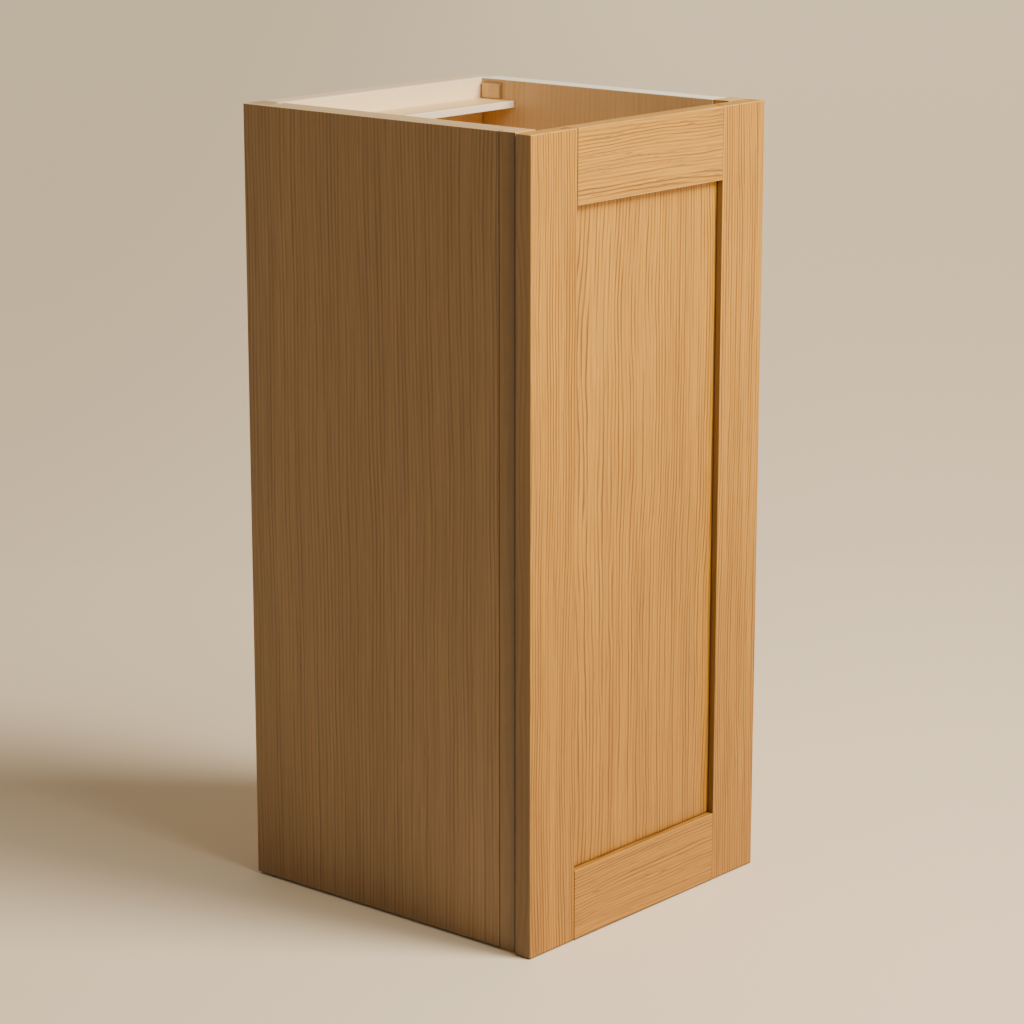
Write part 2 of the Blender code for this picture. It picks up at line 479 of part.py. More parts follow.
for hinge_name, height in HINGE_HEIGHTS.items():
    cup = turned(f"hinge_{hinge_name}_cup", cup_profile, [(CUP_CENTRE_X, CUP_FACE, height)], (0, 1, 0),
                 "steel", DOOR_ORIGIN, steps=32)
    cavity = turned(f"cut_cup_cavity_{hinge_name}", cup_cavity, [(CUP_CENTRE_X, CUP_FACE, height)],
                    (0, 1, 0), None, steps=32)
    boolean(cup, "DIFFERENCE", cavity)
    rods(f"hinge_{hinge_name}_door_pin", [upright(DOOR_PIVOT_POINT, height, PIN_REACH - SEAT)],
         PIVOT_RADIUS, "steel", DOOR_ORIGIN, segments=12)

    # Link: a pressed strip with an eye at each end
    route = smooth_route([CABINET_PIVOT, *LINK_BENDS, DOOR_PIVOT])
    strip = bmesh.new()
    rows = [[strip.verts.new((HINGE_EDGE + across, FRAME_FRONT + along, height + half * LINK_HEIGHT / 2))
             for half in (-1, 1)] for across, along in route]
    for (low_a, high_a), (low_b, high_b) in zip(rows, rows[1:]):
        strip.faces.new((low_a, low_b, high_b, high_a))
    link = finish_mesh(f"hinge_{hinge_name}_link", strip, "steel", CABINET_PIVOT_POINT)
    thicken = link.modifiers.new("strip_thickness", "SOLIDIFY")
    thicken.thickness = LINK_THICKNESS
    thicken.offset = 0.0
    thicken.use_even_offset = True
    for eye_name, point in (("cabinet", CABINET_PIVOT_POINT), ("door", DOOR_PIVOT_POINT)):
        eye = rods(f"join_{hinge_name}_{eye_name}_eye", [upright(point, height, LINK_HEIGHT / 2 - 0.0002)],
                   EYE_RADIUS, None, segments=16)
        boolean(link, "UNION", eye)
    for eye_name, point in (("cabinet", CABINET_PIVOT_POINT), ("door", DOOR_PIVOT_POINT)):
        hole = rods(f"cut_{hinge_name}_{eye_name}_hole", [upright(point, height, LINK_HEIGHT)],
                    PIVOT_HOLE_RADIUS, None, segments=12)
        boolean(link, "DIFFERENCE", hole)

    # Bracket: a plate on the stile's inner edge with two ears that hold the cabinet-side pin
    plate_x = (HINGE_EDGE - SEAT - PLATE_THICKNESS, HINGE_EDGE - SEAT)
    bracket = boxes(f"hinge_{hinge_name}_bracket", [
        (plate_x, (FRAME_FRONT + 0.0005, FRAME_BACK - 0.0005),
         (height - PLATE_HEIGHT / 2, height + PLATE_HEIGHT / 2))], "steel")
    ear_low = LINK_HEIGHT / 2 + SEAT
    for ear_name, sign in (("low", -1), ("high", 1)):
        ear_z = tuple(sorted((height + sign * ear_low, height + sign * (ear_low + EAR_THICKNESS))))
        ear = boxes(f"join_{hinge_name}_{ear_name}_ear", [
            ((CABINET_PIVOT_POINT.x - 0.0035, plate_x[1] - 0.0004),
             (CABINET_PIVOT_POINT.y - 0.0045, CABINET_PIVOT_POINT.y + 0.0045), ear_z)], None)
        boolean(bracket, "UNION", ear)
    ear_holes = rods(f"cut_{hinge_name}_ear_holes", [upright(CABINET_PIVOT_POINT, height, 0.012)],
                     PIVOT_HOLE_RADIUS, None, segments=12)
    boolean(bracket, "DIFFERENCE", ear_holes)
    rods(f"hinge_{hinge_name}_cabinet_pin",
         [upright(CABINET_PIVOT_POINT, height, ear_low + EAR_THICKNESS + 0.0006)], PIVOT_RADIUS, "steel",
         segments=12)

    # Two countersunk screws through the plate into the stile
    screw_places = {"low": -PLATE_SCREW_SPACING / 2, "high": PLATE_SCREW_SPACING / 2}
    screw_places = {screw_name: (plate_x[0] + 0.0002, FRAME_FRONT + FRAME_THICKNESS / 2, height + offset)
                    for screw_name, offset in screw_places.items()}
    screw_holes = turned(
        f"cut_{hinge_name}_plate_holes",
        [(0.0, 0.004), (HINGE_SCREW_HEAD_RADIUS + SEAT, 0.004), (HINGE_SCREW_HEAD_RADIUS + SEAT, -0.0003),
         (HINGE_SCREW_SHANK_RADIUS + SEAT, -HINGE_SCREW_HEAD_DEPTH - 0.0003),
         (HINGE_SCREW_SHANK_RADIUS + SEAT, -HINGE_SCREW_LENGTH - 0.001), (0.0, -HINGE_SCREW_LENGTH - 0.001)],
        screw_places.values(), (-1, 0, 0), None)
    boolean(bracket, "DIFFERENCE", screw_holes)
    boolean(bpy.data.objects["frame_stile_right"], "DIFFERENCE", screw_holes)
    for screw_name, point in screw_places.items():
        turned(f"hinge_{hinge_name}_screw_{screw_name}",
               screw_profile(HINGE_SCREW_HEAD_RADIUS, HINGE_SCREW_HEAD_DEPTH, HINGE_SCREW_SHANK_RADIUS,
                             HINGE_SCREW_LENGTH),
               [point], (-1, 0, 0), "zinc")
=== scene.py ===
import math

import bmesh
import bpy
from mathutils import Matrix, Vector


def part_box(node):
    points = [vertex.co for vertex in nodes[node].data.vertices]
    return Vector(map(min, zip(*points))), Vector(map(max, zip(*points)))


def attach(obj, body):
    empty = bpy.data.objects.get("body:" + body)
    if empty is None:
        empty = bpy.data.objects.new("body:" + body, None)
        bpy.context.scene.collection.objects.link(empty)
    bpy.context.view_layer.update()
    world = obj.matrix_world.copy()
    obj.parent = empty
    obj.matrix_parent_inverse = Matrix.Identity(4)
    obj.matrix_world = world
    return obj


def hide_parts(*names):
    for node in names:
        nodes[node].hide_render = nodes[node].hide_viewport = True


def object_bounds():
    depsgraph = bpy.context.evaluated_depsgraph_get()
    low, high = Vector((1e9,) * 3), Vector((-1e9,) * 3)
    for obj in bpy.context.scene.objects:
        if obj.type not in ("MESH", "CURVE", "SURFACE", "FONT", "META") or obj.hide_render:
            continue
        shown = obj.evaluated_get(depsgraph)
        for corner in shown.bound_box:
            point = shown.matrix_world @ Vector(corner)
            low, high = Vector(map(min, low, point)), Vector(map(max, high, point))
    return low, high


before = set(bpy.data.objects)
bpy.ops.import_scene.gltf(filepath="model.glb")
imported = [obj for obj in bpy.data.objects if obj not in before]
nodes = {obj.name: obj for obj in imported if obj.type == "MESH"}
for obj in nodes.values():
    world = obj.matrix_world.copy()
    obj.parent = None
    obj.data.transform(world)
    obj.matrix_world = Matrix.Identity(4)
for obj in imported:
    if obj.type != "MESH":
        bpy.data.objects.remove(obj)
cad_low, cad_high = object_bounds()

# ---------------------------------------------------------------------------
# Side panels: 19 mm veneered board, honey oak inside and out, with two rows of
# shelf-pin holes, a dado for the bottom and a groove for the back. The sawn top
# ends keep a pale edge, and all the arrises are broken with fine paper.
# ---------------------------------------------------------------------------
SIDE_LIGHT = (0.655, 0.430, 0.190)
SIDE_DARK = (0.480, 0.285, 0.112)
SIDE_END = {"left": (0.50, 0.345, 0.145), "right": (1.0, 0.90, 0.70)}
SIDE_EASE = 0.0004
WORN_OAK = (0.90, 0.53, 0.17)
# Pore colour of the oak; also the colour of painted shade lines in corners and round the door panel.
PORE_AND_SHADE_BROWN = (0.145, 0.062, 0.020)


def join(tree, source, output, target, socket):
    """Join one node's output to another node's input."""
    tree.links.new(source.outputs[output], target.inputs[socket])


def feed(tree, socket, value):
    """Give a socket a number, a colour, a vector, or a (node, output) pair."""
    if isinstance(value, tuple) and isinstance(value[0], bpy.types.Node):
        tree.links.new(value[0].outputs[value[1]], socket)
    elif socket.type == "RGBA":
        socket.default_value = (*value[:3], 1.0)
    else:
        socket.default_value = value


def maths(tree, operation, first, second=None, clamp=False):
    """One step of arithmetic on numbers or (node, output) pairs."""
    made = tree.nodes.new("ShaderNodeMath")
    made.operation = operation
    made.use_clamp = clamp
    feed(tree, made.inputs[0], first)
    if second is not None:
        feed(tree, made.inputs[1], second)
    return made, 0


def vector_maths(tree, operation, first, second=None, output=0):
    """One step of vector arithmetic."""
    made = tree.nodes.new("ShaderNodeVectorMath")
    made.operation = operation
    feed(tree, made.inputs[0], first)
    if second is not None:
        feed(tree, made.inputs[1], second)
    return made, output


def drawn_noise(tree, place, stretch, detail=2.0, roughness=0.5):
    """Noise whose cells per metre are given for each direction, so that it can be drawn out."""
    scaled = vector_maths(tree, "MULTIPLY", place, stretch)
    made = tree.nodes.new("ShaderNodeTexNoise")
    made.inputs["Scale"].default_value = 1.0
    made.inputs["Detail"].default_value = detail
    made.inputs["Roughness"].default_value = roughness
    feed(tree, made.inputs["Vector"], scaled)
    return made, "Fac"


def rise(tree, value, low, high, to_low=0.0, to_high=1.0):
    """A smooth step between two values."""
    made = tree.nodes.new("ShaderNodeMapRange")
    made.interpolation_type = "SMOOTHSTEP"
    feed(tree, made.inputs["Value"], value)
    feed(tree, made.inputs["From Min"], low)
    feed(tree, made.inputs["From Max"], high)
    made.inputs["To Min"].default_value = to_low
    made.inputs["To Max"].default_value = to_high
    return made, 0


def tint(tree, amount, first, second, mode="MIX"):
    """Mix two colours by an amount."""
    made = tree.nodes.new("ShaderNodeMix")
    made.data_type = "RGBA"
    made.blend_type = mode
    feed(tree, made.inputs["Factor"], amount)
    first_socket, second_socket = [one for one in made.inputs if one.type == "RGBA"]
    feed(tree, first_socket, first)
    feed(tree, second_socket, second)
    return made, [one.type for one in made.outputs].index("RGBA")


def effect(name, inputs, outputs):
    """A shader node group; returns its tree, a dict of its inputs and its output node."""
    tree = bpy.data.node_groups.new(name, "ShaderNodeTree")
    for label, kind, default in inputs:
        socket = tree.interface.new_socket(label, in_out="INPUT", socket_type="NodeSocket" + kind)
        if default is not None:
            socket.default_value = default
    for label, kind in outputs:
        tree.interface.new_socket(label, in_out="OUTPUT", socket_type="NodeSocket" + kind)
    inlet = tree.nodes.new("NodeGroupInput")
    return tree, {label: (inlet, label) for label, _, _ in inputs}, tree.nodes.new("NodeGroupOutput")


def use_effect(tree, group, **values):
    """Place a node group in a material with its own values."""
    made = tree.nodes.new("ShaderNodeGroup")
    made.node_tree = group
    for label, value in values.items():
        feed(tree, made.inputs[label], value)
    return made


# Oak figure, solid through the board: growth rings round a pith that lies beside the board, drawn-out
# fibres, open pores in the early wood and slow changes of tone. Z runs along the grain. Each layer's
# cells are counted per metre across, through and along the grain.
DRIFT_CELLS = (5.0, 5.0, 3.2)
RIPPLE_CELLS = (42.0, 42.0, 9.0)
SHIVER_CELLS = (90.0, 90.0, 30.0)
DRIFT_METRES = 0.024
RIPPLE_METRES = 0.0046
SHIVER_METRES = 0.0011
RING_CELLS = (150.0, 150.0, 2.5)
FIBRE_CELLS = (520.0, 520.0, 8.0)
THREAD_CELLS = (1000.0, 1000.0, 26.0)
TONE_CELLS = (26.0, 26.0, 1.4)
PORE_CELLS = (1250.0, 1250.0, 42.0)
LATE_WOOD_RISE = (0.42, 0.84)
LATE_WOOD_END = (0.995, 0.90)
EARLY_WOOD = (0.55, 0.15)
FIBRE_DEPTH = 0.30
THREAD_DEPTH = 0.14
TONE_DEPTH = 0.16
PORE_ROUGHER = 0.25
FIBRE_ROUGHER = 0.08
LACQUER_ROUGHNESS = 0.38
RING_HOLLOW = -0.4
oak_figure, given, result = effect(
    "oak_figure",
    [("Place", "Vector", None), ("Light", "Color", None), ("Dark", "Color", None), ("Rings", "Float", 300.0),
     ("Lines", "Float", 0.5), ("Pores", "Float", 0.5), ("Wave", "Float", 1.0)],
    [("Color", "Color"), ("Roughness", "Float"), ("Height", "Float")])
place = given["Place"]
drift = maths(oak_figure, "SUBTRACT", drawn_noise(oak_figure, place, DRIFT_CELLS, 1.0), 0.5)
ripple = maths(oak_figure, "SUBTRACT", drawn_noise(oak_figure, place, RIPPLE_CELLS, 1.0), 0.5)
shiver = maths(oak_figure, "SUBTRACT", drawn_noise(oak_figure, place, SHIVER_CELLS, 1.0), 0.5)
sway = maths(oak_figure, "ADD", maths(oak_figure, "MULTIPLY", drift, DRIFT_METRES),
             maths(oak_figure, "MULTIPLY", ripple, RIPPLE_METRES))
sway = maths(oak_figure, "ADD", sway, maths(oak_figure, "MULTIPLY", shiver, SHIVER_METRES))
sway = maths(oak_figure, "MULTIPLY", sway, given["Wave"])
radius = vector_maths(oak_figure, "LENGTH", vector_maths(oak_figure, "MULTIPLY", place, (1.0, 1.0, 0.0)),
                      output="Value")
age = maths(oak_figure, "MULTIPLY", maths(oak_figure, "ADD", radius, sway), given["Rings"])
season = maths(oak_figure, "FRACT", age)
late = maths(oak_figure, "MULTIPLY", rise(oak_figure, season, *LATE_WOOD_RISE),
             rise(oak_figure, season, *LATE_WOOD_END))
which = rise(oak_figure, drawn_noise(oak_figure, place, RING_CELLS, 1.0), 0.36, 0.60, 0.25, 1.0)
late = maths(oak_figure, "MULTIPLY", late, which)
fibre = rise(oak_figure, drawn_noise(oak_figure, place, FIBRE_CELLS, 3.0, 0.65), 0.34, 0.70)
thread = rise(oak_figure, drawn_noise(oak_figure, place, THREAD_CELLS, 2.0, 0.6), 0.36, 0.66)
tone = rise(oak_figure, drawn_noise(oak_figure, place, TONE_CELLS, 2.0), 0.28, 0.72)
depth = maths(oak_figure, "MULTIPLY", late, given["Lines"])
depth = maths(oak_figure, "ADD", depth, maths(oak_figure, "MULTIPLY", fibre, FIBRE_DEPTH))
depth = maths(oak_figure, "ADD", depth, maths(oak_figure, "MULTIPLY", thread, THREAD_DEPTH))
depth = maths(oak_figure, "ADD", depth, maths(oak_figure, "MULTIPLY", tone, TONE_DEPTH), clamp=True)
body = tint(oak_figure, depth, given["Light"], given["Dark"])
tick = rise(oak_figure, drawn_noise(oak_figure, place, PORE_CELLS, 2.0, 0.55), 0.58, 0.72)
tick = maths(oak_figure, "MULTIPLY", tick, rise(oak_figure, season, *EARLY_WOOD))
tick = maths(oak_figure, "MULTIPLY", tick, given["Pores"], clamp=True)
join(oak_figure, *tint(oak_figure, tick, body, PORE_AND_SHADE_BROWN), result, "Color")
gloss = maths(oak_figure, "ADD", maths(oak_figure, "MULTIPLY", tick, PORE_ROUGHER),
              maths(oak_figure, "MULTIPLY", fibre, FIBRE_ROUGHER))
join(oak_figure, *maths(oak_figure, "ADD", gloss, LACQUER_ROUGHNESS), result, "Roughness")
hollow = maths(oak_figure, "MULTIPLY", depth, RING_HOLLOW)
join(oak_figure, *maths(oak_figure, "SUBTRACT", hollow, tick), result, "Height")

# Board edges: how near a point is to an arris of its board, and to the board's sawn ends
RUBBED_CELLS = (120.0, 120.0, 45.0)
RUBBED_WIDTH = 0.0016
RUBBED_CORE = 0.0001
SAWN_END_DEPTH = (0.0007, 0.0003)
board_edges, given, result = effect(
    "board_edges", [("Place", "Vector", None), ("Low", "Vector", None), ("High", "Vector", None)],
    [("Arris", "Float"), ("End", "Float")])
from_low = vector_maths(board_edges, "SUBTRACT", given["Place"], given["Low"])
from_high = vector_maths(board_edges, "SUBTRACT", given["High"], given["Place"])
nearest = vector_maths(board_edges, "MINIMUM", from_low, from_high)
parted = board_edges.nodes.new("ShaderNodeSeparateXYZ")
feed(board_edges, parted.inputs[0], nearest)
smaller = maths(board_edges, "MINIMUM", (parted, "X"), (parted, "Y"))
larger = maths(board_edges, "MAXIMUM", (parted, "X"), (parted, "Y"))
second = maths(board_edges, "MAXIMUM", smaller, maths(board_edges, "MINIMUM", larger, (parted, "Z")))
uneven = drawn_noise(board_edges, given["Place"], RUBBED_CELLS, 3.0)
rubbed_band = maths(board_edges, "MULTIPLY", uneven, RUBBED_WIDTH)
join(board_edges, *rise(board_edges, second, rubbed_band, RUBBED_CORE), result, "Arris")
join(board_edges, *rise(board_edges, (parted, "Z"), *SAWN_END_DEPTH), result, "End")

# Crease: a mask close to a line where two boards meet, carrying real stains and joints as well as painted
# shade and painted highlights
UNEVEN_LINE_CELLS = (60.0, 60.0, 60.0)
crease, given, result = effect(
    "crease", [("Place", "Vector", None), ("Low", "Vector", None), ("High", "Vector", None),
               ("Reach", "Float", 0.002)], [("Mask", "Float")])
from_low = vector_maths(crease, "SUBTRACT", given["Place"], given["Low"])
from_high = vector_maths(crease, "SUBTRACT", given["High"], given["Place"])
parted = crease.nodes.new("ShaderNodeSeparateXYZ")
feed(crease, parted.inputs[0], vector_maths(crease, "MINIMUM", from_low, from_high))
closest = maths(crease, "MINIMUM", maths(crease, "MINIMUM", (parted, "X"), (parted, "Y")), (parted, "Z"))
gathered = maths(crease, "MULTIPLY", given["Reach"], rise(
    crease, drawn_noise(crease, given["Place"], UNEVEN_LINE_CELLS, 2.0), 0.2, 0.8, 0.8, 1.15))
join(crease, *rise(crease, closest, gathered, 0.0), result, "Mask")

GRAIN_ORDER = {"Z": ("X", "Y", "Z"), "X": ("Z", "Y", "X")}
FAR = 9.0
SQUARE_FACE = (0.3, 0.6)
COAT_ROUGHNESS = 0.35
GRAIN_BUMP = 0.6


def stain_or_painted_light(low, high, reach, amount, face=None, colour=PORE_AND_SHADE_BROWN):
    """A stain, painted shade or painted highlight close to the walls of a box (None: no wall), or only on
    faces square to one axis.
    """
    return dict(low=[-FAR if wall is None else wall for wall in low],
                high=[FAR if wall is None else wall for wall in high],
                reach=reach, amount=amount, face=face, colour=colour)


def wood(name, grain, pith, light, dark, rings=300.0, lines=0.6, pores=0.5, wave=1.0, worn=WORN_OAK,
         wear=0.55, end=None, end_amount=0.6, creases=(), relief=0.00012, coat=0.2, foot_shade=None):
    """Wood for one board: grain axis, and the pith's place beside the board (across, through, along)."""
    low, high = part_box(name)
    made = bpy.data.materials.new(name)
    made.use_nodes = True
    tree = made.node_tree
    shader = tree.nodes["Principled BSDF"]
    where = tree.nodes.new("ShaderNodeTexCoord")
    parted = tree.nodes.new("ShaderNodeSeparateXYZ")
    join(tree, where, "Object", parted, 0)
    turned_place = tree.nodes.new("ShaderNodeCombineXYZ")
    order = GRAIN_ORDER[grain]
    for target, source in zip("XYZ", order):
        join(tree, parted, source, turned_place, target)
    figure = use_effect(tree, oak_figure, Place=vector_maths(tree, "ADD", (turned_place, 0), pith),
                        Light=light, Dark=dark, Rings=rings, Lines=lines, Pores=pores, Wave=wave)
    corner = dict(zip("XYZ", low))
    far_corner = dict(zip("XYZ", high))
    edges = use_effect(tree, board_edges, Place=(turned_place, 0), Low=[corner[axis] for axis in order],
                       High=[far_corner[axis] for axis in order])
    colour = (figure, "Color")
    if end is not None:
        colour = tint(tree, maths(tree, "MULTIPLY", (edges, "End"), end_amount), colour, end)
    colour = tint(tree, maths(tree, "MULTIPLY", (edges, "Arris"), wear), colour, worn)
    # Line marks: real stains and joints, and painted shade and painted highlights.
    for line_mark in creases:
        gathered = use_effect(tree, crease, Place=(where, "Object"), Low=line_mark["low"], High=line_mark["high"],
                              Reach=line_mark["reach"])
        mask = maths(tree, "MULTIPLY", (gathered, "Mask"), line_mark["amount"])
        if line_mark["face"]:
            facing = tree.nodes.new("ShaderNodeSeparateXYZ")
            join(tree, where, "Normal", facing, 0)
            square = rise(tree, maths(tree, "ABSOLUTE", (facing, line_mark["face"])), *SQUARE_FACE)
            mask = maths(tree, "MULTIPLY", mask, square)
        colour = tint(tree, mask, colour, line_mark["colour"])
    # Painted shade: the colour is multiplied darker toward the bottom.
    if foot_shade is not None:
        lowness = rise(tree, (parted, "Z"), foot_shade["from_height"], foot_shade["to_height"])
        colour = tint(tree, lowness, colour, foot_shade["colour"], "MULTIPLY")
    bump = tree.nodes.new("ShaderNodeBump")
    bump.inputs["Strength"].default_value = GRAIN_BUMP
    bump.inputs["Distance"].default_value = relief
    join(tree, figure, "Height", bump, "Height")
    feed(tree, shader.inputs["Base Color"], colour)
    join(tree, figure, "Roughness", shader, "Roughness")
    join(tree, bump, "Normal", shader, "Normal")
    shader.inputs["Coat Weight"].default_value = coat
    shader.inputs["Coat Roughness"].default_value = COAT_ROUGHNESS
    return made


WELD_DISTANCE = 0.00001
FLAT_WITHIN = math.radians(0.5)
ARRIS_FROM = math.radians(40)


def dress(name, finish, ease, segments=3):
    """Give a modelled piece its finish and round its arrises over by a small radius."""
    piece = nodes[name]
    piece.data.materials.clear()
    piece.data.materials.append(finish)
    weld = piece.modifiers.new("weld", "WELD")
    weld.merge_threshold = WELD_DISTANCE
    flatten = piece.modifiers.new("flatten", "DECIMATE")
    flatten.decimate_type = "DISSOLVE"
    flatten.angle_limit = FLAT_WITHIN
    rounding = piece.modifiers.new("ease", "BEVEL")
    rounding.width = ease
    rounding.segments = segments
    rounding.limit_method = "ANGLE"
    rounding.angle_limit = ARRIS_FROM
    return piece


RIGHT_SIDE_PITH = (0.34, 0.50, 15.3)
back_low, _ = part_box("back_panel")
# Painted shade: the sides darken in a thin line where they meet the back panel's face.
back_corner_shade = stain_or_painted_light((None, None, None), (None, back_low.y, None), 0.0022, 0.35)
for side_name, pith in (("left", (-0.31, 0.12, 14.0)), ("right", RIGHT_SIDE_PITH)):
    side = f"side_panel_{side_name}"
    veneer = wood(side, "Z", pith, SIDE_LIGHT, SIDE_DARK, lines=0.22, pores=0.10, wear=0.7,
                  worn=SIDE_END[side_name], end=SIDE_END[side_name], end_amount=0.9, creases=[back_corner_shade])
    dress(side, veneer, SIDE_EASE)

# ---------------------------------------------------------------------------
# Finished end: a 6 mm oak-faced skin glued over the left side up to the back of
# the face frame, so the seam shows as one fine line, drawn near-black, and a painted
# contact shadow lines its foot. Its oak is painted dark with shade. Straight, quiet grain.
# ---------------------------------------------------------------------------
# Painted shade: the skin's oak is set far darker than the door's, as the shade its face stands in.
SKIN_PAINTED_SHADE_PALE = (0.262, 0.153, 0.058)
SKIN_PAINTED_SHADE_DEEP = (0.118, 0.059, 0.018)
SKIN_END = (0.72, 0.52, 0.28)
# Painted shade of narrow gaps and of the contact with the floor.
PAINTED_GAP_SHADE = (0.030, 0.016, 0.005)
SKIN_EASE = 0.0005
skin_low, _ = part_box("end_skin_left")
# A near-black line at the seam with the frame, and a painted contact shadow along the skin's foot.
seam_line_and_foot_shadow = stain_or_painted_light((None, skin_low.y, skin_low.z), (None, None, None), 0.0012, 0.95, colour=PAINTED_GAP_SHADE)
skin_oak_painted_shade = wood("end_skin_left", "Z", (0.25, 0.90, 7.4), SKIN_PAINTED_SHADE_PALE, SKIN_PAINTED_SHADE_DEEP, rings=240.0, lines=0.58,
                pores=0.25, wave=0.7, end=SKIN_END, wear=0.35, creases=[seam_line_and_foot_shadow])
dress("end_skin_left", skin_oak_painted_shade, SKIN_EASE)

# ---------------------------------------------------------------------------
# Back and bottom: thin boards faced with a pale maple-look laminate, let into the
# sides. The laminate is printed, so its figure is faint and it has no pores.
# ---------------------------------------------------------------------------
PALE_LIGHT = (0.99, 0.77, 0.455)
PALE_DARK = (0.920, 0.685, 0.395)
PALE_WORN = (0.97, 0.88, 0.74)
PALE_END = (0.86, 0.72, 0.53)
PALE_EASE = 0.0004
pale = dict(light=PALE_LIGHT, dark=PALE_DARK, lines=0.12, pores=0.0, worn=PALE_WORN, wear=0.4, end=PALE_END,
            coat=0.0, relief=0.00004)
dress("back_panel", wood("back_panel", "Z", (0.2, 0.6, 17.0), **pale), PALE_EASE)
dress("bottom_panel", wood("bottom_panel", "X", (0.3, 0.8, 18.2), **pale), PALE_EASE)

# ---------------------------------------------------------------------------
# Hanging rails and top batten: bare planed softwood. The rails stand behind the
# back and take the wall screws; the batten is a thin strip glued across the
# inside of the back, its front face and ends painted pale as a painted highlight.
# ---------------------------------------------------------------------------
RAIL_LIGHT = (0.80, 0.60, 0.38)
RAIL_DARK = (0.62, 0.41, 0.21)
BATTEN_LIGHT = (0.78, 0.53, 0.24)
BATTEN_DARK = (0.66, 0.42, 0.17)
BATTEN_PAINTED_HIGHLIGHT = (0.98, 0.84, 0.60)
RAIL_EASE = 0.0008
BATTEN_EASE = 0.0005
for rail_name, pith in (("upper", (0.13, 0.25, 21.7)), ("lower", (0.90, 0.25, 22.9))):
    rail = f"hanging_rail_{rail_name}"
    dress(rail, wood(rail, "X", pith, RAIL_LIGHT, RAIL_DARK, lines=0.55, pores=0.0, end=RAIL_DARK, coat=0.0),
          RAIL_EASE)
batten_low, batten_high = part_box("top_batten")
# Painted highlight: the batten's front face and both ends are painted pale.
front_painted_highlight = stain_or_painted_light((None, batten_low.y, None), (None, None, None), 0.0009, 0.9, colour=BATTEN_PAINTED_HIGHLIGHT)
ends_painted_highlight = stain_or_painted_light((batten_low.x, None, None), (batten_high.x, None, None), 0.0009, 0.8,
                      colour=BATTEN_PAINTED_HIGHLIGHT)
batten_wood = wood("top_batten", "X", (0.45, 0.50, 23.3), BATTEN_LIGHT, BATTEN_DARK, lines=0.2, pores=0.0,
                   wear=0.0, creases=[front_painted_highlight, ends_painted_highlight], coat=0.0)
dress("top_batten", batten_wood, BATTEN_EASE)

# ---------------------------------------------------------------------------
# Rail screws: one countersunk wood screw through each side into each end of the
# hanging rails. Zinc-plated steel with a cross recess and a cut thread.
# ---------------------------------------------------------------------------
ZINC = (0.60, 0.56, 0.44)
ZINC_DULL = (0.38, 0.34, 0.25)
ZINC_POLISH = 0.30
RAIL_SCREW_HEAD = 0.0040
RAIL_SCREW_SHANK = 0.0020
RAIL_SCREW_TAPER = 0.0030
RAIL_SCREW_PITCH = 0.0016
RAIL_SCREW_RECESS = 0.0018

# Plated steel: a bright coat with duller patches, drawn scratches and a slight orange-peel
CLOUD_CELLS = (260.0, 260.0, 260.0)
SCRATCH_CELLS = (3800.0, 900.0, 240.0)
PEEL_CELLS = (1500.0, 1500.0, 1500.0)
PEEL_BUMP = 0.4
plating, given, result = effect(
    "plating", [("Place", "Vector", None), ("Bright", "Color", None), ("Dull", "Color", None),
                ("Polish", "Float", 0.25)], [("Color", "Color"), ("Roughness", "Float"), ("Height", "Float")])
cloud = rise(plating, drawn_noise(plating, given["Place"], CLOUD_CELLS, 4.0, 0.6), 0.42, 0.72)
scratch = rise(plating, drawn_noise(plating, given["Place"], SCRATCH_CELLS, 2.0), 0.60, 0.72)
peel = drawn_noise(plating, given["Place"], PEEL_CELLS, 2.0)
mottled = tint(plating, maths(plating, "MULTIPLY", cloud, 0.6), given["Bright"], given["Dull"])
scored = tint(plating, maths(plating, "MULTIPLY", scratch, 0.35), mottled, given["Dull"])
join(plating, *scored, result, "Color")
haze = maths(plating, "ADD", maths(plating, "MULTIPLY", cloud, 0.14),
             maths(plating, "MULTIPLY", scratch, 0.18))
join(plating, *maths(plating, "ADD", haze, given["Polish"]), result, "Roughness")
join(plating, *maths(plating, "SUBTRACT", peel, maths(plating, "MULTIPLY", scratch, 0.6)), result, "Height")


def plated(name, bright, dull, polish, relief=0.00002):
    """A plated steel finish."""
    made = bpy.data.materials.new(name)
    made.use_nodes = True
    tree = made.node_tree
    shader = tree.nodes["Principled BSDF"]
    shader.inputs["Metallic"].default_value = 1.0
    where = tree.nodes.new("ShaderNodeTexCoord")
    coat = use_effect(tree, plating, Place=(where, "Object"), Bright=bright, Dull=dull, Polish=polish)
    bump = tree.nodes.new("ShaderNodeBump")
    bump.inputs["Strength"].default_value = PEEL_BUMP
    bump.inputs["Distance"].default_value = relief
    join(tree, coat, "Height", bump, "Height")
    join(tree, coat, "Color", shader, "Base Color")
    join(tree, coat, "Roughness", shader, "Roughness")
    join(tree, bump, "Normal", shader, "Normal")
    return made


def turned_build(profile, steps):
    """A closed body turned round Z from (radius, height) points, as a bmesh."""
    build = bmesh.new()
    rings = []
    for radius, height in profile:
        if radius == 0.0:
            rings.append([build.verts.new((0.0, 0.0, height))] * steps)
        else:
            rings.append([build.verts.new((radius * math.cos(turn * math.tau / steps),
                                           radius * math.sin(turn * math.tau / steps), height))
                          for turn in range(steps)])
    for upper, lower in zip(rings, rings[1:]):
        for turn in range(steps):
            after = (turn + 1) % steps
            corners = [upper[turn], lower[turn], lower[after], upper[after]]
            corners = [vert for i, vert in enumerate(corners) if vert not in corners[:i]]
            if len(corners) > 2:
                build.faces.new(corners)
    bmesh.ops.recalc_face_normals(build, faces=build.faces)
    return build


